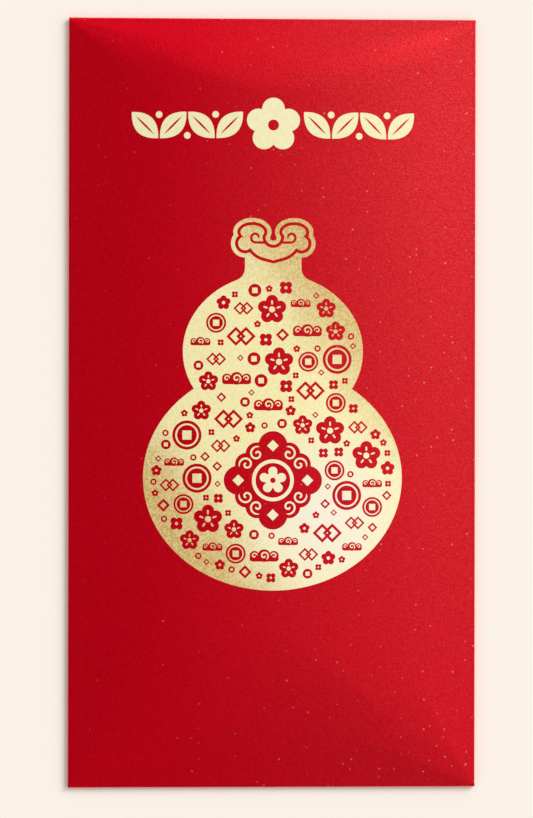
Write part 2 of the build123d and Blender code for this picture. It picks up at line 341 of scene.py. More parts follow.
def new_material(name):
    """An empty material with its Principled shader, and its Object coordinates in metres."""
    material = bpy.data.materials.new(name)
    material.use_nodes = True
    tree = material.node_tree
    shader = tree.nodes["Principled BSDF"]
    place = add_node(tree, "ShaderNodeTexCoord").outputs["Object"]
    return material, tree, shader, place


def per_mm(size):
    """Texture scale at which one feature is about size millimetres."""
    return 1 / (size * MM)


def pearl_card():
    """Red card with a coat of pearl pigment: a deep red body under fine bright platelets.

    To the eye it is a satin red that lifts towards the light, mottled by the felt side of the card. A pale
    dust is painted in as sheen, stronger towards the right, where the bow leans to the light, and weaker
    towards the foot. Sparse pale specks are painted glints where a larger platelet lies flat, more of them
    towards the right. Pearl mirrors in its own red. Its grains are drawn at 0.3 to 0.8 mm, coarser than they
    are, so that they show."""
    material, tree, shader, place = new_material("pearl_card")
    mottle = add_node(tree, "ShaderNodeTexNoise", {"Vector": place, "Scale": per_mm(MOTTLE), "Detail": 3.0})
    red = add_node(
        tree,
        "ShaderNodeMix",
        {0: mottle.outputs["Fac"], MIX_A: linear("#D3001A"), MIX_B: linear("#F80022")},
        data_type="RGBA",
    )
    # Painted glints: pale specks of platelets, chosen more often towards the right, where the key light
    # falls.
    platelets = add_node(tree, "ShaderNodeTexVoronoi", {"Vector": place, "Scale": per_mm(PLATELET_CELL)})
    speck = add_node(
        tree,
        "ShaderNodeMapRange",
        zip(MAP_RANGE, (platelets.outputs["Distance"], *PLATELET_FADE, 0.0, PLATELET_PAINTED_GLINT)),
    )
    chance = add_node(tree, "ShaderNodeSeparateColor", {"Color": platelets.outputs["Color"]})
    spot = add_node(tree, "ShaderNodeSeparateXYZ", {"Vector": place})
    painted_glint_chance = add_node(
        tree,
        "ShaderNodeMath",
        {0: spot.outputs["X"], 1: PLATELET_PAINTED_GLINT_FAVOUR / (half_width * MM), 2: chance.outputs["Red"]},
        operation="MULTIPLY_ADD",
    )
    painted_glint_platelets = add_node(tree, "ShaderNodeMapRange", zip(MAP_RANGE, (painted_glint_chance.outputs[0], *PLATELET_CHANCE)))
    painted_glint = add_node(
        tree, "ShaderNodeMath", {0: speck.outputs[0], 1: painted_glint_platelets.outputs[0]}, operation="MULTIPLY"
    )
    dust = add_node(tree, "ShaderNodeTexNoise", {"Vector": place, "Scale": per_mm(DUST), "Detail": 2.0})
    # Painted sheen: the pale dust is made stronger towards the right and weaker towards the foot, as the
    # light falls on the bow.
    dust_and_painted_sheen = add_node(
        tree, "ShaderNodeMapRange", zip(MAP_RANGE, (dust.outputs["Fac"], *DUST_BAND, *DUST_PAINTED_SHEEN))
    )
    for axis, (low, high), least, easing in (
        ("X", PAINTED_SHEEN_ACROSS, 0.0, "SMOOTHSTEP"),
        ("Y", PAINTED_SHEEN_UP, PAINTED_SHEEN_AT_FOOT, "LINEAR"),
    ):
        lean = add_node(
            tree,
            "ShaderNodeMapRange",
            zip(MAP_RANGE, (spot.outputs[axis], low * MM, high * MM, least)),
            interpolation_type=easing,
        )
        dust_and_painted_sheen = add_node(
            tree, "ShaderNodeMath", {0: dust_and_painted_sheen.outputs[0], 1: lean.outputs[0]}, operation="MULTIPLY"
        )
    painted_sheen_and_glint = add_node(tree, "ShaderNodeMath", {0: dust_and_painted_sheen.outputs[0], 1: painted_glint.outputs[0]}, operation="ADD")
    # The painted sheen and the painted glints lighten the red to pale pink.
    red_with_painted_sheen = add_node(
        tree,
        "ShaderNodeMix",
        {0: painted_sheen_and_glint.outputs[0], MIX_A: red.outputs[MIX_COLOUR], MIX_B: linear("#F4A6A0")},
        data_type="RGBA",
    )
    tooth = add_node(tree, "ShaderNodeTexNoise", {"Vector": place, "Scale": per_mm(TOOTH), "Detail": 2.0})
    bump = add_node(
        tree,
        "ShaderNodeBump",
        {"Height": tooth.outputs["Fac"], "Strength": 1.0, "Distance": TOOTH_DEPTH * MM},
    )
    satin = add_node(
        tree, "ShaderNodeMapRange", zip(MAP_RANGE, (tooth.outputs["Fac"], *NOISE_BAND, *PEARL_ROUGHNESS))
    )
    tree.links.new(red_with_painted_sheen.outputs[MIX_COLOUR], shader.inputs["Base Color"])
    tree.links.new(satin.outputs[0], shader.inputs["Roughness"])
    tree.links.new(bump.outputs[0], shader.inputs["Normal"])
    shader.inputs["Metallic"].default_value = 0.5
    shader.inputs["Specular IOR Level"].default_value = 0.5
    shader.inputs["Specular Tint"].default_value = linear("#F08078")
    return material


def bare_card(name, dark, light, grain):
    """Card or paste with no coat: matt, and a little cloudy with fibres at the given grain."""
    material, tree, shader, place = new_material(name)
    fibres = add_node(
        tree,
        "ShaderNodeTexNoise",
        {"Vector": place, "Scale": per_mm(grain), "Detail": 4.0, "Distortion": 0.6},
    )
    shade = add_node(tree, "ShaderNodeMapRange", zip(MAP_RANGE, (fibres.outputs["Fac"], *NOISE_BAND)))
    colour = add_node(
        tree,
        "ShaderNodeMix",
        {0: shade.outputs[0], MIX_A: linear(dark), MIX_B: linear(light)},
        data_type="RGBA",
    )
    bump = add_node(
        tree,
        "ShaderNodeBump",
        {"Height": fibres.outputs["Fac"], "Strength": 0.3, "Distance": FIBRE_DEPTH * MM},
    )
    tree.links.new(colour.outputs[MIX_COLOUR], shader.inputs["Base Color"])
    tree.links.new(bump.outputs[0], shader.inputs["Normal"])
    shader.inputs["Roughness"].default_value = 0.85
    shader.inputs["Specular IOR Level"].default_value = 0.2
    return material


def stamping_foil():
    """Hot-stamped foil: aluminium film under gold lacquer, pressed into the felt of the card.

    The card's tooth breaks its mirror into a sandy satin, and the lacquer scatters most of the light. A
    painted reflection lies as a broad pale band down the gourd from upper left to lower right, with a painted
    creamy highlight in it, and olive gold on both sides. The sand is drawn at 0.5 mm so that it shows."""
    material, tree, shader, place = new_material("gold_stamping_foil")
    sand = add_node(tree, "ShaderNodeTexNoise", {"Vector": place, "Scale": per_mm(SAND), "Detail": 3.0})
    grit = add_node(tree, "ShaderNodeMapRange", zip(MAP_RANGE, (sand.outputs["Fac"], *NOISE_BAND)))
    tones = []
    for dark, light in (("#C8A24E", "#F2DA9A"), ("#FFE89C", "#FFFFD0")):
        tones.append(
            add_node(
                tree,
                "ShaderNodeMix",
                {0: grit.outputs[0], MIX_A: linear(dark), MIX_B: linear(light)},
                data_type="RGBA",
            )
        )
    olive, painted_reflection_gold = tones
    # Painted reflection: a pale band from upper left to lower right, swayed a little by noise, over olive
    # gold.
    across = add_node(
        tree, "ShaderNodeVectorMath", {0: place, 1: PAINTED_REFLECTION_DIRECTION}, operation="DOT_PRODUCT"
    )
    drift = add_node(
        tree, "ShaderNodeTexNoise", {"Vector": place, "Scale": per_mm(PAINTED_REFLECTION_DRIFT), "Detail": 2.0}
    )
    sway = add_node(
        tree,
        "ShaderNodeMapRange",
        zip(MAP_RANGE, (drift.outputs["Fac"], 0.0, 1.0, -PAINTED_REFLECTION_SWAY * MM, PAINTED_REFLECTION_SWAY * MM)),
    )
    swayed = add_node(
        tree, "ShaderNodeMath", {0: across.outputs["Value"], 1: sway.outputs[0]}, operation="ADD"
    )
    edges = []
    for outer, inner in PAINTED_REFLECTION_EDGES:
        edges.append(
            add_node(
                tree,
                "ShaderNodeMapRange",
                zip(MAP_RANGE, (swayed.outputs[0], outer * MM, inner * MM)),
                interpolation_type="SMOOTHSTEP",
            )
        )
    painted_reflection = add_node(
        tree, "ShaderNodeMath", {0: edges[0].outputs[0], 1: edges[1].outputs[0]}, operation="MULTIPLY"
    )
    # Olive gold outside the painted reflection, pale gold inside it.
    gold = add_node(
        tree,
        "ShaderNodeMix",
        {0: painted_reflection.outputs[0], MIX_A: olive.outputs[MIX_COLOUR], MIX_B: painted_reflection_gold.outputs[MIX_COLOUR]},
        data_type="RGBA",
    )
    # Painted highlight: a creamy spot in the pale band, fading out over its radius.
    from_painted_highlight = add_node(
        tree,
        "ShaderNodeVectorMath",
        {0: place, 1: [part * MM for part in PAINTED_HIGHLIGHT_PLACE]},
        operation="DISTANCE",
    )
    painted_highlight = add_node(
        tree,
        "ShaderNodeMapRange",
        zip(MAP_RANGE, (from_painted_highlight.outputs["Value"], PAINTED_HIGHLIGHT_RADIUS * MM, 0.0, 0.0, PAINTED_HIGHLIGHT_SHARE)),
        interpolation_type="SMOOTHSTEP",
    )
    gold_with_painted_highlight = add_node(
        tree,
        "ShaderNodeMix",
        {0: painted_highlight.outputs[0], MIX_A: gold.outputs[MIX_COLOUR], MIX_B: linear("#FFF8EA")},
        data_type="RGBA",
    )
    bump = add_node(
        tree,
        "ShaderNodeBump",
        {"Height": sand.outputs["Fac"], "Strength": 0.35, "Distance": SAND_DEPTH * MM},
    )
    satin = add_node(
        tree, "ShaderNodeMapRange", zip(MAP_RANGE, (sand.outputs["Fac"], *NOISE_BAND, *FOIL_ROUGHNESS))
    )
    tree.links.new(gold_with_painted_highlight.outputs[MIX_COLOUR], shader.inputs["Base Color"])
    tree.links.new(satin.outputs[0], shader.inputs["Roughness"])
    tree.links.new(bump.outputs[0], shader.inputs["Normal"])
    shader.inputs["Metallic"].default_value = 0.1
    return material


def screen_ink():
    """Cream screen ink: opaque and matt, a little uneven where the card's tooth shows through."""
    material, tree, shader, place = new_material("cream_screen_ink")
    cover = add_node(tree, "ShaderNodeTexNoise", {"Vector": place, "Scale": per_mm(INK_GRAIN), "Detail": 2.0})
    shade = add_node(tree, "ShaderNodeMapRange", zip(MAP_RANGE, (cover.outputs["Fac"], *NOISE_BAND)))
    colour = add_node(
        tree,
        "ShaderNodeMix",
        {0: shade.outputs[0], MIX_A: linear("#EFE8B4"), MIX_B: linear("#F6F0C4")},
        data_type="RGBA",
    )
    tree.links.new(colour.outputs[MIX_COLOUR], shader.inputs["Base Color"])
    shader.inputs["Roughness"].default_value = 0.6
    shader.inputs["Specular IOR Level"].default_value = 0.2
    return material


PEARL = pearl_card()
INSIDE = bare_card("uncoated_card", "#A8141F", "#BC222B", grain=1.2)
CUT_EDGE = bare_card("cut_card_edge", "#B4303A", "#CB5054", grain=0.3)
GOLD = stamping_foil()
CREAM = screen_ink()
PASTE = bare_card("dried_paste", "#CFC2A4", "#E4DAC2", grain=2.0)
CARD = (PEARL, INSIDE, CUT_EDGE)


# Pieces


def build_piece(name, points, faces, materials, kinds, body, node):
    """Makes a mesh of points in millimetres, gives each face its kind of material and lets it stand for a
    node. A piece of the flap is left in place with no parent, and any other rides its body."""
    mesh = bpy.data.meshes.new(name)
    mesh.from_pydata((points * MM).tolist(), [], faces)
    for material in materials:
        mesh.materials.append(material)
    mesh.polygons.foreach_set("material_index", np.asarray(kinds, dtype=np.int32))
    mesh.shade_smooth()
    mesh.set_sharp_from_angle(angle=np.radians(SHARP_ANGLE))
    mesh.update()
    piece = bpy.data.objects.new(name, mesh)
    bpy.context.scene.collection.objects.link(piece)
    if body == "flap":
        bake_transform(piece)
    else:
        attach(piece, body)
    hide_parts(node)


def card_piece(name, outer, inner, body, node):
    """Closes a card between two grids of points: its pearl face, its bare face and the four cut edges.

    Rows crossed with columns point out of the outer grid."""
    rows, columns = outer.shape[:2]
    index = np.arange(rows * columns).reshape(rows, columns)
    face = np.stack([index[:-1, :-1], index[1:, :-1], index[1:, 1:], index[:-1, 1:]], -1).reshape(-1, 4)
    rim = np.concatenate([index[0, :-1], index[:-1, -1], index[-1, :0:-1], index[:0:-1, 0]])
    ahead = np.roll(rim, -1)
    under = rows * columns
    walls = np.stack([rim, ahead, ahead + under, rim + under], -1)
    points = np.concatenate([outer.reshape(-1, 3), inner.reshape(-1, 3)])
    faces = np.concatenate([face, face[:, ::-1] + under, walls]).tolist()
    kinds = np.repeat([0, 1, 2], [len(face), len(face), len(walls)])
    build_piece(name, points, faces, CARD, kinds, body, node)


def front_card():
    """The bowed front: its height over a grid between the four folds, and the same grid one card lower.

    The lines of the grid lie closer together towards the folds."""
    columns, rows = (np.sin(np.linspace(-np.pi / 2, np.pi / 2, count)) for count in FRONT_GRID)
    x = np.interp(columns, (-1, 1), (panel_low[0], panel_high[0]))
    x, y = np.meshgrid(x, fold_end * rows, indexing="ij")
    top = np.stack([x, y, front_height(x, y)], -1)
    card_piece("front_card", top, top - [0, 0, PAPER], "envelope", "front_panel")


def fold_path(low, flat, depth):
    """Path of a folded card at a depth below its outer face, as distance in from the envelope's edge and
    height: a half round from the top of the rim down to low, then the distances in flat."""
    bend = (rim_top - low) / 2
    turn = np.radians(np.linspace(90, 270, FOLD_STEPS))
    inward = np.concatenate([bend + (bend - depth) * np.cos(turn), flat])
    height = np.concatenate([low + bend + (bend - depth) * np.sin(turn), np.full(len(flat), low + depth)])
    return inward, height


def throat_edge(x):
    """Top edge of the back panel: level across the throat, then up at 45 degrees to the top of the folds."""
    half = half_width - THROAT_INSET - THROAT
    climb = panel_high[1] - THROAT - soft_least(half - np.abs(x), np.zeros_like(x), THROAT_EASE)
    return np.minimum(climb, fold_end)


def back_card():
    """The back with the left fold: the folded path carried up the envelope, from its foot to the throat's
    edge.

    The edge of the glued tab stands out through it as a bell-shaped ridge, BACK_RELIEF high."""
    far_edge = back_high[0] + half_width
    flat = np.linspace((rim_top - back_low[2]) / 2, 2 * half_width, BACK_LINES)[1:]
    flat = np.append(flat[flat < far_edge], far_edge)
    share = np.linspace(1, 0, FOLD_LINES)
    grids = []
    for depth in (0, PAPER):
        inward, height = fold_path(back_low[2], flat, depth)
        x = inward - half_width
        y = share * (throat_edge(x)[:, None] + fold_end) - fold_end
        ridge = BACK_RELIEF * np.exp(-(((x - tab_low[0]) / RELIEF_RUN) ** 2))
        z = np.where(inward > rim_top, height - ridge, height)
        grids.append(np.stack(np.broadcast_arrays(x[:, None], y, z[:, None]), -1))
    card_piece("back_card", *grids, "envelope", "back_panel")


def side_tab_card():
    """The glue tab with the right fold: a strip along the whole fold, then the tab with its chamfered
    corners."""
    tab_reach = half_width - tab_low[0]
    strip = (rim_top - tab_low[2]) / 2 + TAB_INSET
    flat = np.concatenate(
        [
            [strip, strip + TAB_STEP],
            np.linspace(strip + TAB_LEAD, tab_reach - TAB_CHAMFER, TAB_LINES),
            [tab_reach],
        ]
    )
    share = np.linspace(0, 1, FOLD_LINES)
    grids = []
    for depth in (0, PAPER):
        inward, height = fold_path(tab_low[2], flat, depth)
        in_strip = inward <= strip
        cut = TAB_INSET + np.maximum(0, inward - (tab_reach - TAB_CHAMFER))
        foot = np.where(in_strip, -fold_end, cut - fold_end)
        head = np.where(in_strip, fold_end, panel_high[1] - THROAT - cut)
        y = foot[:, None] + share * (head - foot)[:, None]
        grids.append(np.stack(np.broadcast_arrays((half_width - inward)[:, None], y, height[:, None]), -1))
    card_piece("side_tab_card", *grids, "envelope", "side_tab")


def flap_half_width(inward, depth, tip_width, corner):
    """Half width of a flap: the envelope's round the fold, then narrowing evenly to a tip with round
    corners."""
    slope = (half_width - tip_width / 2) / (depth - fold_bend)
    lean = np.arctan(slope)
    straight = half_width - slope * np.maximum(inward - fold_bend, 0)
    centre = tip_width / 2 + corner * slope - corner / np.cos(lean)
    from_centre = np.clip(inward - (depth - corner), 0, corner)
    rounded = centre + np.sqrt(corner**2 - from_centre**2)
    return np.where(from_centre > corner * np.sin(lean), np.minimum(straight, rounded), straight)


def flap_card(name, node, body, up, depth, tip_width, corner):
    """A flap with its fold, at the top edge or the bottom one: the folded path, and across it the half width.

    The cuts across it lie closer together round the corners of the tip."""
    turn = np.radians(np.linspace(0, 90, CORNER_LINES))
    straight = np.linspace(fold_bend, depth - corner, FLAP_LINES)[1:-1]
    flat = np.concatenate([straight, depth - corner + corner * np.sin(turn)])
    share = np.linspace(up, -up, FOLD_LINES)
    grids = []
    for below in (0, PAPER):
        inward, height = fold_path(0, flat, below)
        x = flap_half_width(inward, depth, tip_width, corner)[:, None] * share
        y = up * (half_height - inward)
        grids.append(np.stack(np.broadcast_arrays(x, y[:, None], height[:, None]), -1))
    card_piece(name, *grids, body, node)


# Outlines of the stamping and the print


def ellipse(x, y, half_x, half_y):
    """Points round an ellipse, about POINT_STEP apart."""
    count = max(ROUND_LEAST, round(2 * np.pi * max(half_x, half_y) / POINT_STEP))
    turn = np.linspace(0, 2 * np.pi, count, endpoint=False)
    return np.column_stack([x + half_x * np.cos(turn), y + half_y * np.sin(turn)])


def circle(x, y, radius):
    """Points round a circle."""
    return ellipse(x, y, radius, radius)


def square(x, y, side, turn=0.0):
    """Corners of a square turned by an angle."""
    angle = np.radians(turn + np.array([45, 135, 225, 315]))
    return np.column_stack([x + side * np.sqrt(0.5) * np.cos(angle), y + side * np.sqrt(0.5) * np.sin(angle)])


def level_slot(x, y, half_x, half_y):
    """Points round a level slot: two half circles and the straight runs between them."""
    turn = np.radians(np.linspace(-90, 90, SLOT_END_POINTS))
    right = np.column_stack([half_x - half_y + half_y * np.cos(turn), half_y * np.sin(turn)])
    return np.concatenate([right, -right]) + [x, y]


def rosette(x, y, petals, reach, radius, turn=90.0):
    """Outer line of a ring of equal circles: along each ray, the far side of the nearest petal's circle."""
    count = max(ROSETTE_LEAST, round(2 * np.pi * (reach + radius) / POINT_STEP))
    angle = np.linspace(0, 2 * np.pi, count, endpoint=False)
    step = 2 * np.pi / petals
    off = (angle + step / 2) % step - step / 2
    ray = reach * np.cos(off) + np.sqrt(np.maximum(radius**2 - (reach * np.sin(off)) ** 2, 0))
    angle = angle + np.radians(turn)
    return np.column_stack([x + ray * np.cos(angle), y + ray * np.sin(angle)])


def stroke(path, width):
    """Outline of a line drawn along a path, as wide as width and rounded off at both ends: the width is
    kept along nearly the whole path, and narrows at its ends as a super-ellipse does."""
    along = np.gradient(path, axis=0)
    along /= np.linalg.norm(along, axis=1, keepdims=True)
    side = np.column_stack([-along[:, 1], along[:, 0]])
    share = np.linspace(-1, 1, len(path))[:, None]
    half = width / 2 * np.sqrt(np.clip(1 - share**STROKE_POWER, STROKE_LEAST, 1))
    return np.concatenate([path + side * half, (path - side * half)[::-1]])


def spiral(x, y, start_radius, end_radius, start, span):
    """Path of a spiral that starts at an angle, turns through span and closes in evenly."""
    share = np.linspace(0, 1, max(CURL_LEAST, round(abs(span) / CURL_STEP)))
    angle = np.radians(start + span * share)
    radius = start_radius + (end_radius - start_radius) * share
    return np.column_stack([x + radius * np.cos(angle), y + radius * np.sin(angle)])


def leaf(x, y, length, width, turn):
    """Points round a leaf: two bows between its tips, each as high as half the width."""
    share = np.linspace(-1, 1, LEAF_SIDE_POINTS)
    side = np.column_stack([share * length / 2, width / 2 * (1 - share**2)])
    outline = np.concatenate([side, -side[1:-1]])
    cosine, sine = np.cos(np.radians(turn)), np.sin(np.radians(turn))
    return outline @ np.array([[cosine, sine], [-sine, cosine]]) + [x, y]


def neck():
    """Neck of the gourd: straight sides that flare into the shoulder of the upper bulb on a quadratic curve.

    Its foot has points close enough to follow the bow."""
    _, y, half_x, half_y = UPPER_BULB
    shoulder = y + half_y * np.sqrt(1 - (NECK_HALF_WIDTH / half_x) ** 2)
    flare_x = NECK_HALF_WIDTH + NECK_FLARE
    flare_y = y + half_y * np.sqrt(1 - (flare_x / half_x) ** 2)
    share = np.linspace(0, 1, NECK_FLARE_POINTS)[:, None]
    ends = np.array([[NECK_HALF_WIDTH, shoulder + NECK_FLARE], [flare_x, flare_y]])
    corner = np.array([NECK_HALF_WIDTH, shoulder])
    bend = ends[0] * (1 - share) ** 2 + 2 * corner * share * (1 - share) + ends[1] * share**2
    foot = np.linspace([flare_x, y], [FILM_PITCH / 2, y], NECK_FOOT_POINTS)
    right = np.concatenate([[[NECK_HALF_WIDTH, NECK_TOP]], bend, foot])
    return np.concatenate([right, right[::-1] * [-1, 1]])


# Motifs. Each takes the test that tells which points an outline covers, and gives the points inside the
# motif's own outline and, among them, those where the foil is knocked out.


def blossom(test, x, y, radius):
    """Plum blossom: five petals round a gold eye, with a gold stamen in each petal."""
    petal = PETAL * radius / STAMP_RADIUS
    foot, tip = STAMEN_ENDS
    whole = test(rosette(x, y, 5, radius - petal, petal))
    gold = test(circle(x, y, BLOSSOM_EYE * petal))
    for turn in np.radians(90 + 72 * np.arange(5)):
        ray = np.linspace([foot * petal], [tip * petal], STAMEN_POINTS)
        stamen = ray * [np.cos(turn), np.sin(turn)] + [x, y]
        gold = gold | test(stroke(stamen, STAMEN_LINE * petal))
    return whole, whole & ~gold


def coin(test, x, y, radius):
    """Coin: a rim, a field with a thin gold ring, and a square hole of gold."""
    whole = test(circle(x, y, radius))
    outer, inner = COIN_RING
    ring = test(circle(x, y, outer * radius)) & ~test(circle(x, y, inner * radius))
    return whole, whole & ~ring & ~test(square(x, y, COIN_SQUARE * radius / STAMP_RADIUS))


def lozenges(test, x, y, radius):
    """Two linked lozenges, each a frame round a gold heart."""
    scale = radius / STAMP_RADIUS
    frames = []
    hearts = []
    for shift in (-LOZENGE_PITCH * scale / 2, LOZENGE_PITCH * scale / 2):
        frames.append(test(square(x + shift, y, LOZENGE * scale, 45)))
        hearts.append(test(square(x + shift, y, LOZENGE_HEART * LOZENGE * scale, 45)))
    return frames[0] | frames[1], (frames[0] & ~hearts[0]) | (frames[1] & ~hearts[1])


def small_cloud(test, x, y, radius):
    """Cloud: a crest between two lobes on a level foot, with a gold curl in the crest and in each lobe."""
    scale = radius / STAMP_RADIUS
    crest = CLOUD_CREST * scale
    lobe = CLOUD_LOBE * scale
    foot = CLOUD_FOOT * scale
    whole = test(circle(x, y, crest)) | test(level_slot(x, y - foot / 2, radius, foot / 2))
    first, last, line = [share * crest for share in CREST_CURL]
    gold = test(stroke(spiral(x, y, first, last, CREST_CURL_START, CREST_CURL_TURN), line))
    first, last, line = [share * lobe for share in LOBE_CURL]
    for side in (-1, 1):
        lobe_x = x + side * (radius - lobe)
        whole = whole | test(circle(lobe_x, y, lobe))
        gold = gold | test(stroke(spiral(lobe_x, y, first, last, 90 + 90 * side, -360 * side), line))
    return whole, whole & ~gold


def quatrefoil(test, x, y, radius):
    """Four-petalled flower round a gold eye."""
    reach, petal, eye = [share * radius for share in QUATREFOIL]
    whole = test(rosette(x, y, 4, reach, petal, 45))
    return whole, whole & ~test(circle(x, y, eye))


def small_blossom(test, x, y, radius):
    """Five-petalled flower round a gold eye."""
    reach, petal, eye = [share * radius for share in SMALL_BLOSSOM]
    whole = test(rosette(x, y, 5, reach, petal))
    return whole, whole & ~test(circle(x, y, eye))


def small_coin(test, x, y, radius):
    """Coin with a square hole of gold."""
    rim, hole = [share * radius for share in SMALL_COIN]
    whole = test(circle(x, y, rim))
    return whole, whole & ~test(square(x, y, hole))


def small_lozenge(test, x, y, radius):
    """Lozenge frame round a gold heart."""
    side, heart = [share * radius for share in SMALL_LOZENGE]
    whole = test(square(x, y, side, 45))
    return whole, whole & ~test(square(x, y, heart, 45))


def medallion(test):
    """Four cloud heads round a ring and a blossom, with a gold bead and two gold curls in each head."""
    hub = (0, MEDALLION_Y)
    whole = test(circle(*hub, MEDALLION_HUB))
    gold = test(circle(*hub, MEDALLION_RING)) & ~test(circle(*hub, MEDALLION_RING - MEDALLION_RING_WIDTH))
    gold = gold | test(rosette(*hub, 5, 2 * MEDALLION_PETAL, MEDALLION_PETAL))
    gold = gold & ~test(circle(*hub, MEDALLION_EYE))
    for turn in (0, 90, 180, 270):
        along = np.array([np.cos(np.radians(turn)), np.sin(np.radians(turn))])
        x, y = hub + MEDALLION_REACH * along
        whole = whole | test(circle(x, y, MEDALLION_LOBE))
        gold = gold | test(square(x, y, MEDALLION_BEAD, 45))
        for side in (-1, 1):
            angle = np.radians(turn + side * MEDALLION_SIDE_TURN)
            x = MEDALLION_SIDE_REACH * np.cos(angle)
            y = MEDALLION_Y + MEDALLION_SIDE_REACH * np.sin(angle)
            whole = whole | test(circle(x, y, MEDALLION_SIDE_LOBE))
            first = turn + side * MEDALLION_CURL_START
            curl = spiral(x, y, *MEDALLION_CURL, first, side * MEDALLION_CURL_TURN)
            gold = gold | test(stroke(curl, MEDALLION_CURL_LINE))
    return whole, whole & ~gold


def clear_places(radius, gap, pitch, taken):
    """Points of a sunflower spiral where a motif of that radius clears the gourd's rim and what is taken."""
    golden_turn = np.pi * (3 - np.sqrt(5))
    inset = FOIL_RIM + radius
    limit = UPPER_BULB[1] + UPPER_BULB[3] - MEDALLION_Y
    steps = np.arange(1, (limit / pitch) ** 2 + 1)
    reach = pitch * np.sqrt(steps)
    spots = np.column_stack(
        [reach * np.cos(steps * golden_turn), MEDALLION_Y + reach * np.sin(steps * golden_turn)]
    )
    bulbs = []
    for x, y, half_x, half_y in (LOWER_BULB, UPPER_BULB):
        bulbs.append(np.hypot((spots[:, 0] - x) / (half_x - inset), (spots[:, 1] - y) / (half_y - inset)))
    places = list(taken)
    for spot in spots[np.minimum(*bulbs) < 1]:
        others = np.array(places)
        apart = np.hypot(*(others[:, :2] - spot).T)
        if (apart > others[:, 2] + radius + gap).all():
            places.append((*spot, radius))
    return places[len(taken) :]


def motifs(test):
    """The medallion, the large stamps and the small ones that fill the gaps between them."""
    yield medallion(test)
    taken = [(0.0, MEDALLION_Y, MEDALLION_REACH + MEDALLION_LOBE)]
    large = (blossom, coin, lozenges, small_cloud)
    small = (quatrefoil, small_lozenge, small_blossom, small_coin)
    for radius, gap, pitch, kinds in (
        (STAMP_RADIUS, STAMP_GAP, SPIRAL_PITCH, large),
        (FILL_RADII[0], FILL_GAPS[0], FILL_PITCH, large),
        (FILL_RADII[1], FILL_GAPS[1], FILL_PITCH, small),
        (FILL_RADII[2], FILL_GAPS[2], FILL_PITCH, small),
        (FILL_RADII[3], FILL_GAPS[3], FILL_PITCH, small),
    ):
        found = clear_places(radius, gap, pitch, taken)
        for order, (x, y, size) in enumerate(found):
            yield kinds[order % len(kinds)](test, x, y, size)
        taken.extend(found)


def cap_cloud(test, grow):
    """The ruyi cloud of the cap, grown by a margin: a round body with a point below and a notch above, two
    level lobes beside the notch and a round lobe below each.

    The body's edge runs straight from the point to the belly, then on along an arc to the foot."""
    tip, belly, foot = np.array([CAP_TIP, CAP_BELLY, CAP_FOOT])
    lean = np.arctan2(*(belly - tip)[::-1])
    inward = np.array([-np.sin(lean), np.cos(lean)])
    radius = (foot - belly) @ (foot - belly) / (2 * (foot - belly) @ inward)
    centre = belly + radius * inward
    swing = np.degrees(np.arctan2(*(foot - centre)[::-1]) - np.arctan2(*(belly - centre)[::-1]))
    point = spiral(*tip, grow, grow, -90, np.degrees(lean))
    side = spiral(*centre, radius + grow, radius + grow, np.degrees(lean) - 90, swing)
    right = np.concatenate([point, side, [CAP_LOWER_LOBE[:2], CAP_UPPER_LOBE[:2]]])
    cloud = test(np.concatenate([right, right[:0:-1] * [-1, 1]]))
    notch_y, notch = CAP_NOTCH
    bowl = spiral(0, notch_y, notch - grow, notch - grow, 180, 180)
    cloud = cloud & ~test(np.concatenate([bowl, bowl[::-1] * [1, 0] + [0, notch_y + notch]]))
    for sign in (-1, 1):
        x, y, half_x, half_y = CAP_UPPER_LOBE
        cloud = cloud | test(ellipse(sign * x, y, half_x + grow, half_y + grow))
        x, y, lobe = CAP_LOWER_LOBE
        cloud = cloud | test(circle(sign * x, y, lobe + grow))
    return cloud


def cap_lines(test):
    """Lines drawn in the cap: a curl on each side, on a level foot that runs in from the notch."""
    x, y, radius = CAP_CURL
    drawn = False
    for side in (-1, 1):
        foot = np.linspace([0, y - radius], [side * x, y - radius], CAP_LINE_POINTS)
        curl = spiral(side * x, y, radius, CAP_CURL_END, -90, side * CAP_CURL_TURN)
        drawn = drawn | test(stroke(np.concatenate([foot, curl[1:]]), CAP_CURL_LINE))
    return drawn


def stamping(test):
    """Which points each of the three foil pieces covers: the gourd, the cloud of its cap, and the islands."""
    gourd = test(ellipse(*LOWER_BULB)) | test(ellipse(*UPPER_BULB)) | test(neck())
    gourd = (gourd | cap_cloud(test, CAP_LINE + CAP_BORDER)) & ~cap_cloud(test, CAP_LINE)
    cap = cap_cloud(test, 0) & ~cap_lines(test)
    islands = np.zeros_like(gourd)
    for whole, bare in motifs(test):
        islands = islands | (whole & ~bare)
        gourd = gourd & ~whole
    return gourd, cap, islands


def garland(test):
    """Which points the print covers: a blossom between two sprays of leaves, with a berry in each gap."""
    centre = (0, PRINT_Y)
    printed = test(rosette(*centre, 5, PRINT_PETAL_REACH, PRINT_PETAL)) & ~test(circle(*centre, PRINT_EYE))
    for side in (-1, 1):
        for order in range(LEAVES):
            x = side * (SPRAY_OFFSET + order * LEAF_PITCH)
            turn = side * LEAF_TURN * (1 if order % 2 else -1)
            printed = printed | test(leaf(x, PRINT_Y, LEAF_LENGTH, LEAF_WIDTH, turn))
            printed = printed & ~test(leaf(x, PRINT_Y, *LEAF_VEIN, turn))
        for order in range(LEAVES - 1):
            x = side * (SPRAY_OFFSET + (order + 0.5) * LEAF_PITCH)
            y = PRINT_Y + BERRY_RISE * (-1 if order % 2 else 1)
            printed = printed | test(circle(x, y, BERRY))
    return (printed,)


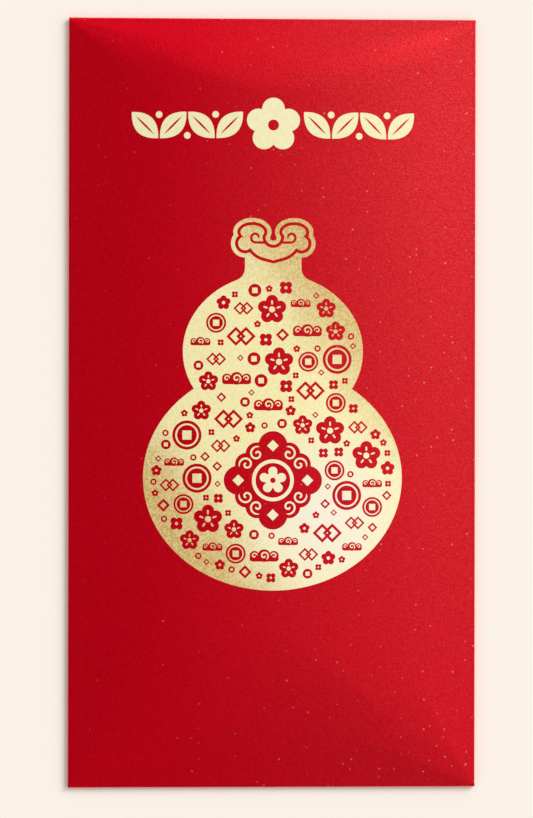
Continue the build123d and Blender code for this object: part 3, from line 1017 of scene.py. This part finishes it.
def covers(outline, points):
    """Which points lie inside an outline: those whose ray to the right crosses it an odd number of times."""
    inside = np.zeros(len(points), bool)
    near = np.flatnonzero(((points > outline.min(0)) & (points < outline.max(0))).all(1))
    x, y = points[near].T[:, :, None]
    start, end = outline, np.roll(outline, -1, 0)
    rise = end[:, 1] - start[:, 1]
    rise = np.where(rise == 0, NO_RISE, rise)
    crossing = start[:, 0] + (end[:, 0] - start[:, 0]) * (y - start[:, 1]) / rise
    straddles = (start[:, 1] > y) != (end[:, 1] > y)
    inside[near] = (straddles & (crossing > x)).sum(1) % 2 == 1
    return inside


def film_pieces(design, names, nodes, low, high, material):
    """Lays a design on the front as thin films.

    All its outlines cut one plane into triangles. Each triangle goes to the film that covers its middle. The
    films are lifted onto the bow from low to high, and closed by walls along their open edges."""
    outlines = []

    def note(outline):
        """Keeps an outline, and covers nothing."""
        outlines.append(outline)
        return np.zeros(1, bool)

    design(note)
    corners = np.concatenate(outlines)
    starts = np.cumsum([0] + [len(outline) for outline in outlines])
    links = []
    for start, outline in zip(starts, outlines):
        index = np.arange(len(outline))
        links.append(np.column_stack([start + index, start + (index + 1) % len(outline)]))
    spans = zip(corners.min(0), corners.max(0))
    mesh_x, mesh_y = np.meshgrid(*[np.arange(first, last, FILM_PITCH) for first, last in spans])
    plane = np.concatenate([corners, np.column_stack([mesh_x.ravel(), mesh_y.ravel()])])
    cut = delaunay_2d_cdt(plane.tolist(), np.concatenate(links).tolist(), [], ALL_TRIANGLES, WELD, False)
    points = np.array([tuple(point) for point in cut[0]])
    triangles = np.array(cut[2])
    middles = points[triangles].mean(1)
    for covered, name, node in zip(design(lambda outline: covers(outline, middles)), names, nodes):
        used, index = np.unique(triangles[covered], return_inverse=True)
        film = index.reshape(-1, 3)
        plan = points[used]
        base = front_height(plan[:, 0], plan[:, 1])
        solid = np.concatenate([np.column_stack([plan, base + high]), np.column_stack([plan, base + low])])
        edges = np.concatenate([film[:, [0, 1]], film[:, [1, 2]], film[:, [2, 0]]])
        _, first, count = np.unique(np.sort(edges, 1), axis=0, return_index=True, return_counts=True)
        open_edges = edges[first[count == 1]]
        under = len(plan)
        walls = np.column_stack([open_edges[:, 0], open_edges + under, open_edges[:, 1]])
        faces = film.tolist() + (film[:, ::-1] + under).tolist() + walls.tolist()
        build_piece(name, solid, faces, (material,), np.zeros(len(faces)), "envelope", node)


front_card()
back_card()
side_tab_card()
flap_card(
    "bottom_flap_card",
    "bottom_flap",
    "envelope",
    -1,
    bottom_high[1] + half_height,
    BOTTOM_TIP_WIDTH,
    BOTTOM_CORNER,
)
flap_card(
    "closure_flap_card",
    "closure_flap",
    "flap",
    1,
    half_height - closure_low[1],
    CLOSURE_TIP_WIDTH,
    CLOSURE_CORNER,
)
film_pieces(
    stamping,
    ("gourd_stamping", "cloud_cap_stamping", "island_stamping"),
    ("gourd_foil", "cloud_cap_foil", "foil_islands"),
    FOIL_LOW,
    FOIL_HIGH,
    GOLD,
)
film_pieces(garland, ("header_garland",), ("header_print",), PRINT_LOW, PRINT_HIGH, CREAM)
for seam in ("side_seam_glue", "bottom_seam_glue"):
    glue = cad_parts[seam]
    glue.data.materials.clear()
    glue.data.materials.append(PASTE)


# Floor, light and camera

FLOOR_SIZE = 6000.0
FLOOR_DROP = 0.02
SUN_AZIMUTH = 42.0
SUN_ELEVATION = 38.0
SUN_STRENGTH = 1.65
SUN_SPREAD = 30.0
SKY_AZIMUTH = 24.0
SKY_SCATTERED = (0.4, 0.96)
SKY_SCATTERED_SIDES = (-0.6, 0.6)
SKY_MIRRORED = (0.0, 0.42)
SKY_MIRRORED_SIDES = (-0.34, 0.26)
SKY_SEEN = 1.0
CAMERA_DISTANCE = 600.0
CAMERA_YAW = 2.0
CAMERA_ROLL = 0.1
VIEW_HEIGHT = 180.9
VIEW_CENTRE = (-1.27, -1.38, 1.2)
SENSOR = 36.0


def pale_floor():
    """Pale paper backdrop, matt, a hair below the envelope so that no two faces share a plane."""
    material, _, shader, _ = new_material("pale_backdrop")
    shader.inputs["Base Color"].default_value = linear("#FBF4EB")
    shader.inputs["Roughness"].default_value = 0.9
    shader.inputs["Specular IOR Level"].default_value = 0.0
    mesh = bpy.data.meshes.new("floor")
    half, low = FLOOR_SIZE / 2 * MM, -FLOOR_DROP * MM
    corners = [(-half, -half, low), (half, -half, low), (half, half, low), (-half, half, low)]
    mesh.from_pydata(corners, [], [(0, 1, 2, 3)])
    mesh.materials.append(material)
    floor = bpy.data.objects.new("floor", mesh)
    bpy.context.scene.collection.objects.link(floor)


def studio_light():
    """A broad low key from the upper right, and a soft sky.

    The sky brightens evenly towards a side of its own, a little to the right of the key. What mirrors it sees
    it dimmer and steeper than what scatters it, and the camera sees it plain and pale."""
    azimuth, elevation, sky_azimuth = np.radians([SUN_AZIMUTH, SUN_ELEVATION, SKY_AZIMUTH])
    level = np.cos(elevation)
    towards = Vector((level * np.cos(azimuth), level * np.sin(azimuth), np.sin(elevation)))
    lamp = bpy.data.lights.new("key", "SUN")
    lamp.energy = SUN_STRENGTH
    lamp.angle = np.radians(SUN_SPREAD)
    key = bpy.data.objects.new("key", lamp)
    key.rotation_mode = "QUATERNION"
    key.rotation_quaternion = towards.to_track_quat("Z", "Y")
    bpy.context.scene.collection.objects.link(key)
    world = bpy.data.worlds.new("studio")
    world.use_nodes = True
    tree = world.node_tree
    direction = add_node(tree, "ShaderNodeTexCoord").outputs["Generated"]
    side = add_node(
        tree,
        "ShaderNodeVectorMath",
        {0: direction, 1: (np.cos(sky_azimuth), np.sin(sky_azimuth), 0.0)},
        operation="DOT_PRODUCT",
    )
    levels = []
    for ends, sides in ((SKY_SCATTERED, SKY_SCATTERED_SIDES), (SKY_MIRRORED, SKY_MIRRORED_SIDES)):
        limits = (side.outputs["Value"], *sides, *ends)
        levels.append(add_node(tree, "ShaderNodeMapRange", zip(MAP_RANGE, limits)))
    scattered, mirrored = levels
    ray = add_node(tree, "ShaderNodeLightPath")
    cast = add_node(
        tree,
        "ShaderNodeMix",
        {0: ray.outputs["Is Glossy Ray"], MIX_LOW: scattered.outputs[0], MIX_HIGH: mirrored.outputs[0]},
        data_type="FLOAT",
    )
    seen = add_node(
        tree,
        "ShaderNodeMix",
        {0: ray.outputs["Is Camera Ray"], MIX_LOW: cast.outputs[0], MIX_HIGH: SKY_SEEN},
        data_type="FLOAT",
    )
    backdrop = tree.nodes["Background"]
    backdrop.inputs["Color"].default_value = linear("#FFFDFA")
    tree.links.new(seen.outputs[0], backdrop.inputs["Strength"])
    bpy.context.scene.world = world


def camera():
    """A long lens straight above, a little to the left, with the envelope where the photograph has it."""
    data = bpy.data.cameras.new("camera")
    data.sensor_width = SENSOR
    data.lens = SENSOR * CAMERA_DISTANCE / VIEW_HEIGHT
    view = bpy.data.objects.new("camera", data)
    yaw = np.radians(CAMERA_YAW)
    back = Vector((-np.sin(yaw), 0.0, np.cos(yaw)))
    view.location = (Vector(VIEW_CENTRE) + back * CAMERA_DISTANCE) * MM
    view.rotation_euler = (0.0, -yaw, np.radians(CAMERA_ROLL))
    bpy.context.scene.collection.objects.link(view)
    bpy.context.scene.camera = view


pale_floor()
studio_light()
camera()
bpy.context.scene.view_settings.view_transform = "Standard"
